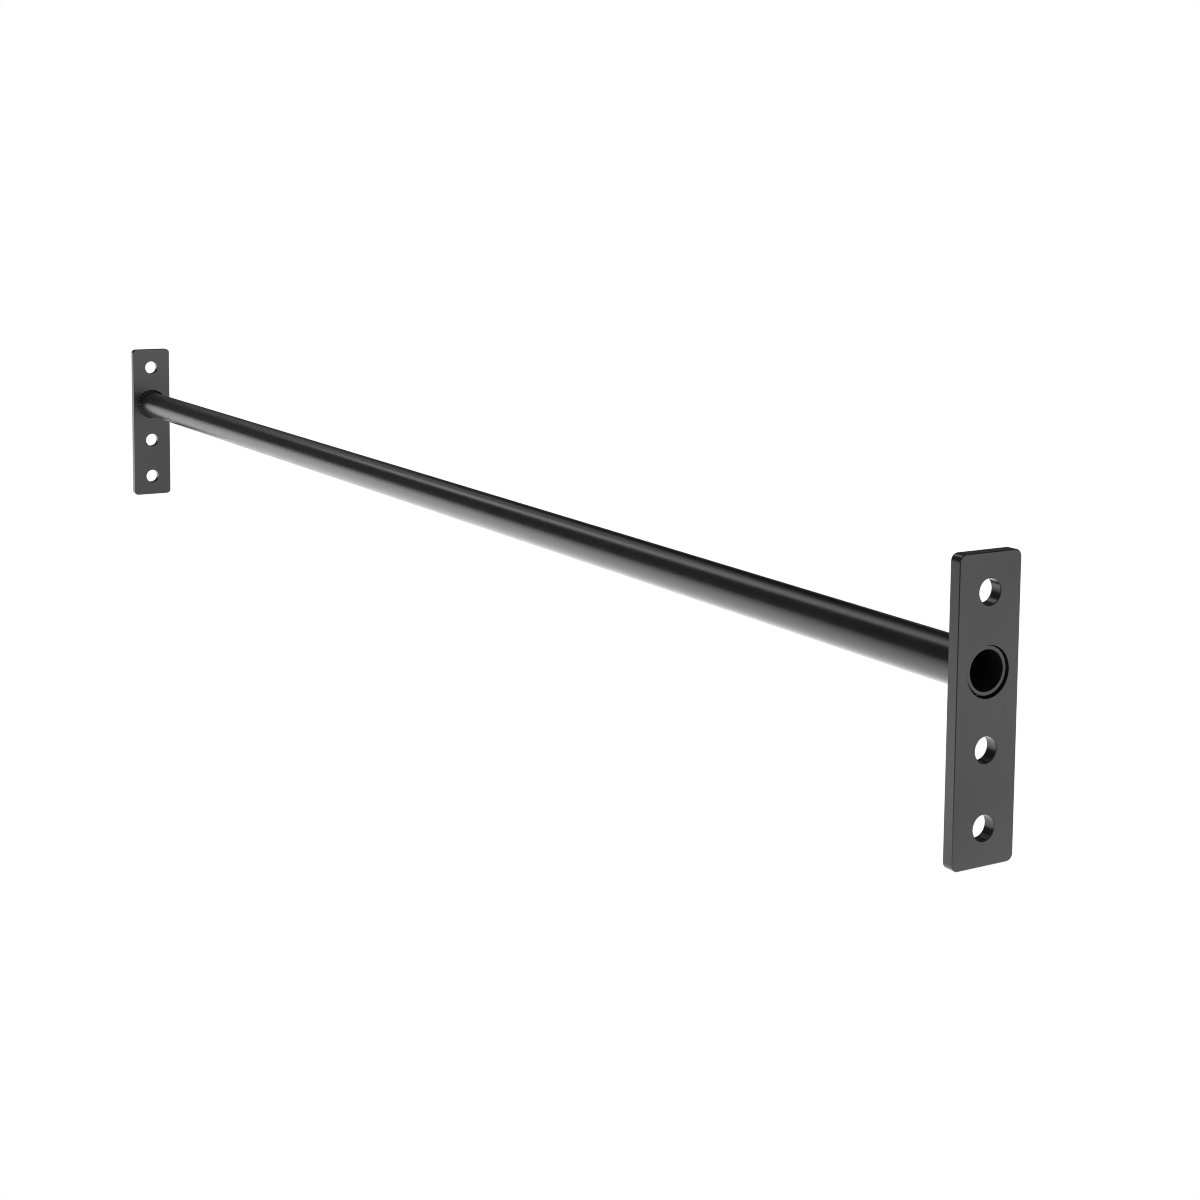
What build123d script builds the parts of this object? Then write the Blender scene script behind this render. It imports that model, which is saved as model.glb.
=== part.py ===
from build123d import *
import os

# Pull-up bar for a training rig: one round steel tube between two upright end plates.
# Each end of the tube sits in its plate's bore and is welded to the plate's inner face.
# Origin: on the tube's axis, half way between the plates.
# +X runs along the tube to the right-hand plate, and +Z is up.

# Driving dimensions, in millimetres
overall_length = 1700.0       # from one plate's outer face to the other's
tube_diameter = 32.0
tube_wall = 2.6
tube_recess = 1.5             # how far the tube's end lies below the plate's outer face
bore_clearance = 1.0          # the bore's radius over the tube's
bore_drop = 0.6               # the bore's centre below the tube's axis: the tube is held high in its bore
tube_end_chamfer = 0.4
plate_width = 50.0
plate_thickness = 9.0
plate_corner_radius = 5.0
plate_edge_chamfer = 0.5      # on the plate's outline and on the rims of its bolt holes
station_pitch = 50.0          # the tube and the bolt holes stand in one row of equal steps
stations_above_tube = 1
stations_below_tube = 2
end_margin = 25.0             # from the outermost bolt hole to the plate's end
bolt_hole_diameter = 17.0
weld_leg = 4.0                # the bead's reach, along the tube and out over the plate
weld_crown = 0.5              # how far the bead's face bulges past a straight line

# Sizes that follow
tube_radius = tube_diameter / 2
tube_length = overall_length - 2 * tube_recess
plate_inner_face = overall_length / 2 - plate_thickness
plate_top = stations_above_tube * station_pitch + end_margin
plate_bottom = -stations_below_tube * station_pitch - end_margin
plate_mid_height = (plate_top + plate_bottom) / 2
plate_stations = range(-stations_below_tube, stations_above_tube + 1)
bolt_hole_heights = [station * station_pitch for station in plate_stations if station != 0]


# The tube: open at both ends
with BuildPart() as tube:
    with BuildSketch(Plane.YZ.offset(-tube_length / 2)):
        Circle(tube_radius)
        Circle(tube_radius - tube_wall, mode=Mode.SUBTRACT)
    extrude(amount=tube_length)
    chamfer(faces().filter_by(Axis.X).edges(), tube_end_chamfer)

# An end plate: the bolt holes stand above and below the bore that takes the tube
with BuildPart() as right_end_plate:
    with BuildSketch(Plane.YZ.offset(plate_inner_face)):
        with Locations((0, plate_mid_height)):
            RectangleRounded(plate_width, plate_top - plate_bottom, plate_corner_radius)
        with Locations(*[(0, height) for height in bolt_hole_heights]):
            Circle(bolt_hole_diameter / 2, mode=Mode.SUBTRACT)
    extrude(amount=plate_thickness)
    chamfer(faces().filter_by(Axis.X).edges(), plate_edge_chamfer)
    with BuildSketch(Plane.YZ.offset(plate_inner_face)):
        with Locations((0, -bore_drop)):
            Circle(tube_radius + bore_clearance)
    extrude(amount=plate_thickness, mode=Mode.SUBTRACT)

with BuildPart() as left_end_plate:
    mirror(right_end_plate.part, about=Plane.YZ)

# The weld bead: a fillet all round the tube, in the corner that it makes with the plate
with BuildPart() as right_weld_bead:
    with BuildSketch(Plane.XZ):
        with BuildLine():
            root = (plate_inner_face, tube_radius)
            toe_on_plate = (plate_inner_face, tube_radius + weld_leg)
            toe_on_tube = (plate_inner_face - weld_leg, tube_radius)
            Line(root, toe_on_tube)
            SagittaArc(toe_on_tube, toe_on_plate, weld_crown)
            Line(toe_on_plate, root)
        make_face()
    revolve(axis=Axis.X)

with BuildPart() as left_weld_bead:
    mirror(right_weld_bead.part, about=Plane.YZ)


# One STEP file for each piece
pieces = {
    "tube": tube,
    "left_end_plate": left_end_plate,
    "right_end_plate": right_end_plate,
    "left_weld_bead": left_weld_bead,
    "right_weld_bead": right_weld_bead,
}
os.makedirs("parts", exist_ok=True)
for name, piece in pieces.items():
    piece.part.label = name
    export_step(piece.part, f"parts/{name}.step")
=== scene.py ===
import math

import bmesh
import bpy
from mathutils import Matrix, Vector, noise


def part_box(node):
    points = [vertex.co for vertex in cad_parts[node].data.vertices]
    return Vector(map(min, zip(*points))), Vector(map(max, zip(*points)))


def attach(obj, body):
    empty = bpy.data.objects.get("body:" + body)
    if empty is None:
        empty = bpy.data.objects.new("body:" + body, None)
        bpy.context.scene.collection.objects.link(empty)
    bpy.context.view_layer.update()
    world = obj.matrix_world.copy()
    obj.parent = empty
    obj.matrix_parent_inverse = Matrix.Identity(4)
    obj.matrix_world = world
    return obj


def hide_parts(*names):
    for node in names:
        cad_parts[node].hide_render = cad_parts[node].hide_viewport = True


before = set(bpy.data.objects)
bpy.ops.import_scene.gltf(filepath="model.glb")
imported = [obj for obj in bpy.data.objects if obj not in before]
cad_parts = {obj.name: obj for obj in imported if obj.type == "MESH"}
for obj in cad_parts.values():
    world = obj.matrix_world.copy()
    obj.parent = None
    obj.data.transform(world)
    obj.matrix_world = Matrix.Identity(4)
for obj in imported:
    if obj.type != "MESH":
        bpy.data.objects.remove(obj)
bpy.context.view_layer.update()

# A pull up bar: a round tube between two upright plates, with a rippled weld round each end.
# Lengths are in metres. +X runs along the tube to the right-hand plate, and +Z is up.

MM = 0.001
WHITE = (1.0, 1.0, 1.0, 1.0)
BLACK = (0.0, 0.0, 0.0, 1.0)

# Sizes read from the frame
tube_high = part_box("tube")[1]
bead_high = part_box("right_weld_bead")[1]
plate_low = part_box("right_end_plate")[0]
TUBE_RADIUS = tube_high.z
TUBE_HALF_LENGTH = tube_high.x
BEAD_REACH = bead_high.z - TUBE_RADIUS
BEAD_SEAT = bead_high.x             # the plate's inner face, where the bead ends
FLOOR_HEIGHT = plate_low.z


# ---------------------------------------------------------------- camera

# Found by fitting the model's outlines to the photograph's
CAMERA_PLACE = Vector((1.73548, -0.80282, 0.29150))
CAMERA_AZIMUTH = 59.508             # degrees from +Y towards -X
CAMERA_ELEVATION = 5.385            # degrees, looking down
CAMERA_ROLL = 0.559                 # degrees
CAMERA_LENS = 57.695
CAMERA_SENSOR = 36.0
CAMERA_SHIFT_Y = -0.18627
CAMERA_NEAREST = 0.01
CAMERA_FARTHEST = 200.0
PIXEL_FILTER = 1.0                  # pixels: narrower than the default 1.5, for crisp edges


def add_camera():
    """The camera at the photograph's viewing angle, looking down the bar from beside its right-hand end."""
    azimuth = math.radians(CAMERA_AZIMUTH)
    elevation = math.radians(CAMERA_ELEVATION)
    forward = Vector((
        -math.sin(azimuth) * math.cos(elevation),
        math.cos(azimuth) * math.cos(elevation),
        -math.sin(elevation),
    ))
    level_right = forward.cross(Vector((0, 0, 1))).normalized()
    turn = Matrix.Rotation(-math.radians(CAMERA_ROLL), 3, forward)
    right = turn @ level_right
    up = right.cross(forward)
    camera = bpy.data.cameras.new("camera")
    camera.lens = CAMERA_LENS
    camera.sensor_width = CAMERA_SENSOR
    camera.shift_y = CAMERA_SHIFT_Y
    camera.clip_start = CAMERA_NEAREST
    camera.clip_end = CAMERA_FARTHEST
    holder = bpy.data.objects.new("camera", camera)
    place = Matrix((right, up, -forward)).transposed().to_4x4()
    place.translation = CAMERA_PLACE
    holder.matrix_world = place
    bpy.context.scene.collection.objects.link(holder)
    bpy.context.scene.camera = holder


# ---------------------------------------------------------------- node helpers

def new_material(name):
    """An empty node material, with its tree and its Principled shader."""
    material = bpy.data.materials.new(name)
    material.use_nodes = True
    tree = material.node_tree
    return material, tree, tree.nodes["Principled BSDF"]


def add_node(tree, kind, values=None, **settings):
    """A node with its settings and the values of its input sockets."""
    node = tree.nodes.new(kind)
    for key, value in settings.items():
        setattr(node, key, value)
    for key, value in (values or {}).items():
        node.inputs[key].default_value = value
    return node


def mix_shaders(tree, share, first, second):
    """The output that goes from the first shader to the second as the share goes from 0 to 1."""
    mix = add_node(tree, "ShaderNodeMixShader")
    for socket, source in zip(mix.inputs, (share, first, second)):
        tree.links.new(source, socket)
    return mix.outputs[0]


# ---------------------------------------------------------------- materials

MOTTLE_SCALE = 45.0                 # features in a metre, as are the next two
PEEL_SCALE = 620.0
GRIT_SCALE = 3200.0
NOISE_LOW = 0.3                     # most of a noise texture lies between these two
NOISE_HIGH = 0.7
SHADE_SPREAD = 0.12                 # how far the mottle takes the colour up and down, as a share
ROUGHNESS_SPREAD = 0.02


def powder_coat(name, colour, roughness, peel_height, grit_height, index):
    """Satin black powder coat: a slow mottle, soft orange peel and a fine grit, all at real scale."""
    material, tree, shader = new_material(name)
    link = tree.links.new
    place = add_node(tree, "ShaderNodeTexCoord").outputs["Object"]
    mottle = add_node(tree, "ShaderNodeTexNoise", {"Scale": MOTTLE_SCALE, "Detail": 3.0})
    peel = add_node(tree, "ShaderNodeTexNoise", {"Scale": PEEL_SCALE, "Detail": 1.0})
    grit = add_node(tree, "ShaderNodeTexNoise", {"Scale": GRIT_SCALE, "Detail": 2.0})
    for texture in (mottle, peel, grit):
        link(place, texture.inputs["Vector"])

    shade = add_node(tree, "ShaderNodeMapRange", {
        "From Min": NOISE_LOW, "From Max": NOISE_HIGH,
        "To Min": 1 - SHADE_SPREAD, "To Max": 1 + SHADE_SPREAD})
    link(mottle.outputs["Fac"], shade.inputs["Value"])
    tint = add_node(tree, "ShaderNodeVectorMath", {0: colour}, operation="SCALE")
    link(shade.outputs["Result"], tint.inputs["Scale"])
    link(tint.outputs["Vector"], shader.inputs["Base Color"])

    sheen = add_node(tree, "ShaderNodeMapRange", {
        "From Min": NOISE_LOW, "From Max": NOISE_HIGH,
        "To Min": roughness - ROUGHNESS_SPREAD, "To Max": roughness + ROUGHNESS_SPREAD})
    link(mottle.outputs["Fac"], sheen.inputs["Value"])
    link(sheen.outputs["Result"], shader.inputs["Roughness"])

    fine = add_node(tree, "ShaderNodeBump", {"Strength": 1.0, "Distance": grit_height})
    soft = add_node(tree, "ShaderNodeBump", {"Strength": 1.0, "Distance": peel_height})
    link(grit.outputs["Fac"], fine.inputs["Height"])
    link(peel.outputs["Fac"], soft.inputs["Height"])
    link(fine.outputs["Normal"], soft.inputs["Normal"])
    link(soft.outputs["Normal"], shader.inputs["Normal"])
    shader.inputs["IOR"].default_value = index
    return material


# ---------------------------------------------------------------- mesh helpers

def link_mesh(name, mesh, material):
    """An object in the scene, made from a bmesh that it frees, with one material."""
    data = bpy.data.meshes.new(name)
    mesh.to_mesh(data)
    mesh.free()
    data.materials.append(material)
    holder = bpy.data.objects.new(name, data)
    bpy.context.scene.collection.objects.link(holder)
    return holder


def finish_piece(name, mesh, material, replaced):
    """Links a finished piece and lets it stand for its CAD node."""
    piece = link_mesh(name, mesh, material)
    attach(piece, "root")
    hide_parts(replaced)
    return piece


def ring_mesh(section, steps):
    """A closed ring: section(angle) gives its (along, radius) points, turned about the X axis."""
    mesh = bmesh.new()
    loops = []
    for step in range(steps):
        angle = 2 * math.pi * step / steps
        loops.append([
            mesh.verts.new((along, -radius * math.cos(angle), radius * math.sin(angle)))
            for along, radius in section(angle)
        ])
    for one, two in zip(loops, loops[1:] + loops[:1]):
        for corner in range(len(one)):
            after = (corner + 1) % len(one)
            mesh.faces.new((one[corner], one[after], two[after], two[corner]))
    bmesh.ops.recalc_face_normals(mesh, faces=mesh.faces)
    for face in mesh.faces:
        face.smooth = True
    return mesh


def arc_points(centre, radius, start, end, steps):
    """Points along an arc, from the start angle to the end angle, in degrees."""
    points = []
    for step in range(steps + 1):
        angle = math.radians(start + (end - start) * step / steps)
        points.append((centre[0] + radius * math.cos(angle), centre[1] + radius * math.sin(angle)))
    return points


# ---------------------------------------------------------------- the tube

TUBE_WALL = 2.6 * MM
TUBE_RIM = 0.4 * MM                 # the radius that rounds the edges of its ends
TUBE_RIM_STEPS = 4
TUBE_SPANS = 40                     # mesh spans along it
TUBE_SIDES = 192                    # mesh steps round it
EVEN_SHADING = 80                   # the weight that large faces have in the shading


def make_tube(material):
    """The hollow bar, with a rounded rim at both ends."""
    inner = TUBE_RADIUS - TUBE_WALL
    rim_start = TUBE_HALF_LENGTH - TUBE_RIM
    inner_rim = inner + TUBE_RIM
    outer_rim = TUBE_RADIUS - TUBE_RIM
    outside = [(rim_start - 2 * rim_start * i / TUBE_SPANS, TUBE_RADIUS) for i in range(1, TUBE_SPANS)]
    section = (
        arc_points((rim_start, inner_rim), TUBE_RIM, 270, 360, TUBE_RIM_STEPS)
        + arc_points((rim_start, outer_rim), TUBE_RIM, 0, 90, TUBE_RIM_STEPS)
        + outside
        + arc_points((-rim_start, outer_rim), TUBE_RIM, 90, 180, TUBE_RIM_STEPS)
        + arc_points((-rim_start, inner_rim), TUBE_RIM, 180, 270, TUBE_RIM_STEPS)
        + [(along, inner) for along, _ in reversed(outside)]
    )
    mesh = ring_mesh(lambda angle: section, TUBE_SIDES)
    tube = finish_piece("bar_tube", mesh, material, "tube")
    tube.modifiers.new("even_shading", "WEIGHTED_NORMAL").weight = EVEN_SHADING


# ---------------------------------------------------------------- the welds

RIPPLES = 32                        # puddles of weld metal round the tube
RIPPLE_STEPS = 16                   # mesh steps along each puddle
BEAD_STEPS = 20                     # mesh steps across the bead
RIPPLE_HEIGHT = 1.1 * MM
RIPPLE_SKEW = 0.7                   # under 1, a puddle rises faster than it falls
RIPPLE_BREADTH = 0.3                # the smaller, the nearer the hollows come to the bead's edges
RIPPLE_CURL = 0.45                  # how far a puddle's edges trail behind its middle, in puddles
PITCH_WANDER = 0.35                 # how far the puddles stray from even steps, in puddles
SCALLOP = 0.09                      # how far a hollow draws the edge on the plate in, as a share
FULLNESS = 0.84                     # 0 is a flat face and 1 a quarter round
BEAD_SHARE = 0.90                   # the bead's mean size, as a share of the CAD bead's
WANDER = 0.05                       # slow changes of that share
WOBBLE = 0.03                       # quick changes of that share
STOP_LUMP = 0.04                    # what the lump adds to it where the weld starts and stops
STOP_LUMP_WIDTH = 0.16              # radians
STOP_ANGLES = {"left": 330, "right": 205}     # degrees
BEAD_SINK = 0.15 * MM               # how deep the bead's hidden sides lie in the tube and the plate

# Lumps in a turn, as the radius of a ring through the noise, and the slice of it that the ring lies in
WANDER_NOISE = (3, 7)
WOBBLE_NOISE = (9, 3)
PITCH_NOISE = (5, 40)


def ring_noise(angle, radius, height):
    """Smooth noise that closes on itself after one turn."""
    return noise.noise(Vector((radius * math.cos(angle), radius * math.sin(angle), height)))


def make_weld(side, material):
    """A rippled weld bead: full, overlapping puddles laid round the tube, with a start and stop lump."""
    direction = 1 if side == "right" else -1
    seat = direction * BEAD_SEAT
    stop_angle = math.radians(STOP_ANGLES[side])
    wander_radius, wander_height = WANDER_NOISE
    wobble_radius, wobble_height = WOBBLE_NOISE

    def section(angle):
        wander = WANDER * ring_noise(angle, wander_radius, direction * wander_height)
        wobble = WOBBLE * ring_noise(angle, wobble_radius, direction * wobble_height)
        from_stop = math.atan2(math.sin(angle - stop_angle), math.cos(angle - stop_angle))
        lump = STOP_LUMP * math.exp(-(from_stop / STOP_LUMP_WIDTH) ** 2)
        reach = BEAD_REACH * (BEAD_SHARE + wander + wobble + lump)
        climb = BEAD_REACH * (BEAD_SHARE - wander + wobble + lump)
        puddle = RIPPLES * angle / (2 * math.pi) + PITCH_WANDER * ring_noise(angle, *PITCH_NOISE)
        points = []
        for step in range(BEAD_STEPS + 1):
            share = step / BEAD_STEPS
            turn = share * math.pi / 2
            phase = (puddle + RIPPLE_CURL * (2 * share - 1) ** 2) % 1
            hollow = 1 - math.sin(math.pi * phase ** RIPPLE_SKEW)
            dip = RIPPLE_HEIGHT * hollow * math.sin(2 * turn) ** RIPPLE_BREADTH
            fullness = FULLNESS - dip / BEAD_REACH
            flat_x, flat_r = 1 - share, share
            round_x, round_r = math.cos(turn), math.sin(turn)
            points.append((
                seat - direction * climb * (flat_x + fullness * (round_x - flat_x)),
                TUBE_RADIUS + reach * (1 - SCALLOP * hollow) * (flat_r + fullness * (round_r - flat_r)),
            ))
        buried_seat = seat + direction * BEAD_SINK
        buried_radius = TUBE_RADIUS - BEAD_SINK
        points[0] = (points[0][0], buried_radius)
        points[-1] = (buried_seat, points[-1][1])
        points.append((buried_seat, buried_radius))
        return points

    mesh = ring_mesh(section, RIPPLES * RIPPLE_STEPS)
    finish_piece(side + "_weld_ripples", mesh, material, side + "_weld_bead")


# ---------------------------------------------------------------- floor

FLOOR_RADIUS = 9.0
FLOOR_SIDES = 96
GLOW_MIDDLE = (1.04, 0.12, 0.0)     # the glow is a long soft ellipse round this point
GLOW_REACH = (5.7, 0.63, 1.0)       # its half length and half width
GLOW_TURN = 14.0                    # degrees from the bar's line
GLOW_PEAK = 2.18
GLOW_BASE = 1.1
SHADE_X = (0.68, 1.0)               # from here to here the table darkens, beside the right-hand plate
SHADE_Y = (0.73, -0.70)
SHADE_REST = 0.16                   # what the shade leaves of the glow


def light_table():
    """A light table: white from above and clear from below.

    Only the camera sees the white. The object is lit by a long soft glow, dimmer at one corner.
    """
    material, tree, shader = new_material("light_table")
    link = tree.links.new
    tree.nodes.remove(shader)
    place = add_node(tree, "ShaderNodeTexCoord").outputs["Object"]

    ellipse = add_node(tree, "ShaderNodeMapping", {
        "Location": GLOW_MIDDLE, "Rotation": (0, 0, math.radians(GLOW_TURN)), "Scale": GLOW_REACH},
        vector_type="TEXTURE")
    distance = add_node(tree, "ShaderNodeVectorMath", operation="LENGTH")
    glow = add_node(tree, "ShaderNodeMapRange", {
        "From Min": 0.0, "From Max": 1.0, "To Min": GLOW_PEAK, "To Max": GLOW_BASE},
        interpolation_type="SMOOTHSTEP")
    link(place, ellipse.inputs["Vector"])
    link(ellipse.outputs["Vector"], distance.inputs[0])
    link(distance.outputs["Value"], glow.inputs["Value"])

    axes = add_node(tree, "ShaderNodeSeparateXYZ")
    link(place, axes.inputs[0])
    shade = add_node(tree, "ShaderNodeMath", operation="MULTIPLY")
    for index, (axis, (start, end)) in enumerate((("X", SHADE_X), ("Y", SHADE_Y))):
        ramp = add_node(tree, "ShaderNodeMapRange", {
            "From Min": start, "From Max": end, "To Min": 0.0, "To Max": 1.0},
            interpolation_type="SMOOTHSTEP")
        link(axes.outputs[axis], ramp.inputs["Value"])
        link(ramp.outputs["Result"], shade.inputs[index])
    rest = add_node(tree, "ShaderNodeMapRange", {"To Min": 1.0, "To Max": SHADE_REST})
    radiance = add_node(tree, "ShaderNodeMath", operation="MULTIPLY")
    link(shade.outputs[0], rest.inputs["Value"])
    link(rest.outputs["Result"], radiance.inputs[0])
    link(glow.outputs["Result"], radiance.inputs[1])

    lit = add_node(tree, "ShaderNodeEmission", {"Color": WHITE})
    link(radiance.outputs[0], lit.inputs["Strength"])
    white = add_node(tree, "ShaderNodeEmission", {"Color": WHITE, "Strength": 1.0})
    clear = add_node(tree, "ShaderNodeBsdfTransparent")
    seen = add_node(tree, "ShaderNodeLightPath").outputs["Is Camera Ray"]
    from_below = add_node(tree, "ShaderNodeNewGeometry").outputs["Backfacing"]
    from_above = mix_shaders(tree, seen, lit.outputs[0], white.outputs[0])
    surface = mix_shaders(tree, from_below, from_above, clear.outputs[0])
    link(surface, tree.nodes["Material Output"].inputs["Surface"])
    return material


def add_floor():
    """A pale light table under the object."""
    mesh = bmesh.new()
    bmesh.ops.create_circle(mesh, cap_ends=True, radius=FLOOR_RADIUS, segments=FLOOR_SIDES)
    floor = link_mesh("floor", mesh, light_table())
    floor.location = (0, 0, FLOOR_HEIGHT)


# ---------------------------------------------------------------- light

OVERHEAD = 1.3                      # the panels' distances above, to the right of and in front of the origin
RIGHT = 3.6
FRONT = -3.2

# Each panel's name, place, the point it faces, its width and height, and its radiance
PANELS = (
    ("strip_box", (-1.25, -0.15, OVERHEAD), (-1.25, -0.15, 0), 3.5, 0.5, 1.5),
    ("top_fill", (-0.5, 0.25, OVERHEAD), (-0.5, 0.25, 0), 2.0, 0.3, 0.75),
    ("left_top", (-3.0, 0.65, OVERHEAD), (-3.0, 0.65, 0), 3.0, 0.6, 0.25),
    ("right_low", (RIGHT, 2.0, 0.39), (0, 2.0, 0.39), 2.0, 1.02, 4.4),
    ("right_high", (RIGHT, 1.0, 1.55), (0, 1.0, 1.55), 4.0, 1.3, 1.95),
    ("front_fill", (1.8, FRONT, 1.04), (1.8, 0, 1.04), 3.6, 2.32, 0.76),
    ("horizon", (-5.3, -2.8, 0.09), (0, 0, 0.09), 5.0, 0.42, 0.8),
)
CARD_PLACE = (-4.0, 2.5, 2.1)
CARD_SIZE = (2.0, 2.1)              # width and height
ROOM_RADIANCE = 0.09                # what the object sees where no panel is


def facing(place, target):
    """The rotation that turns an object's -Z side from its place to a target."""
    return (Vector(target) - Vector(place)).to_track_quat("-Z", "Y").to_euler()


def add_panel(name, place, target, width, height, radiance):
    """A soft light panel: a rectangular area light of an even radiance, hidden from the camera."""
    light = bpy.data.lights.new(name, "AREA")
    light.shape = "RECTANGLE"
    light.size = width
    light.size_y = height
    light.energy = radiance * math.pi * width * height
    holder = bpy.data.objects.new(name, light)
    holder.location = place
    holder.rotation_euler = facing(place, target)
    holder.visible_camera = False
    bpy.context.scene.collection.objects.link(holder)


def add_lights():
    """Three panels over the bar, two at the back right, one in front and a low one at the front left."""
    for panel in PANELS:
        add_panel(*panel)


def add_black_card():
    """A black card at the back left, hidden from the camera: it keeps the upper rim of the bar dark."""
    mesh = bmesh.new()
    bmesh.ops.create_grid(mesh, x_segments=1, y_segments=1, size=0.5)    # one metre square
    material, _, shader = new_material("black_card")
    shader.inputs["Base Color"].default_value = BLACK
    shader.inputs["Specular IOR Level"].default_value = 0.0
    card = link_mesh("black_card", mesh, material)
    card.location = CARD_PLACE
    card.rotation_euler = facing(CARD_PLACE, (0, 0, CARD_PLACE[2]))
    card.scale = (*CARD_SIZE, 1.0)
    card.visible_camera = False


def add_world():
    """White to the camera, and a dim room to the object."""
    world = bpy.data.worlds.new("studio")
    world.use_nodes = True
    bpy.context.scene.world = world
    tree = world.node_tree
    tree.nodes.clear()
    backdrop = add_node(tree, "ShaderNodeBackground", {"Color": WHITE, "Strength": 1.0})
    room = add_node(tree, "ShaderNodeBackground", {"Color": WHITE, "Strength": ROOM_RADIANCE})
    seen = add_node(tree, "ShaderNodeLightPath").outputs["Is Camera Ray"]
    output = add_node(tree, "ShaderNodeOutputWorld")
    surface = mix_shaders(tree, seen, room.outputs[0], backdrop.outputs[0])
    tree.links.new(surface, output.inputs["Surface"])


# ---------------------------------------------------------------- the scene

coat = powder_coat(
    "black_powder_coat", colour=(0.013, 0.013, 0.0135), roughness=0.25,
    peel_height=0.03 * MM, grit_height=0.002 * MM, index=1.5)
# The same powder coat over the welds, with painted shade: its darker colour stands in for the shade in the
# crevices between the ripples, and its lower index dims its reflections to darken the bead further.
weld_coat_painted_shade = powder_coat(
    "coated_weld_bead_painted_shade", colour=(0.005, 0.005, 0.0052), roughness=0.18,
    peel_height=0.14 * MM, grit_height=0.002 * MM, index=1.28)

add_camera()
add_floor()
add_lights()
add_black_card()
add_world()
bpy.context.scene.view_settings.view_transform = "Standard"
bpy.context.scene.cycles.filter_width = PIXEL_FILTER

for plate in ("left_end_plate", "right_end_plate"):
    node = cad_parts[plate]
    node.data.materials.clear()
    node.data.materials.append(coat)
make_tube(coat)
make_weld("left", weld_coat_painted_shade)
make_weld("right", weld_coat_painted_shade)
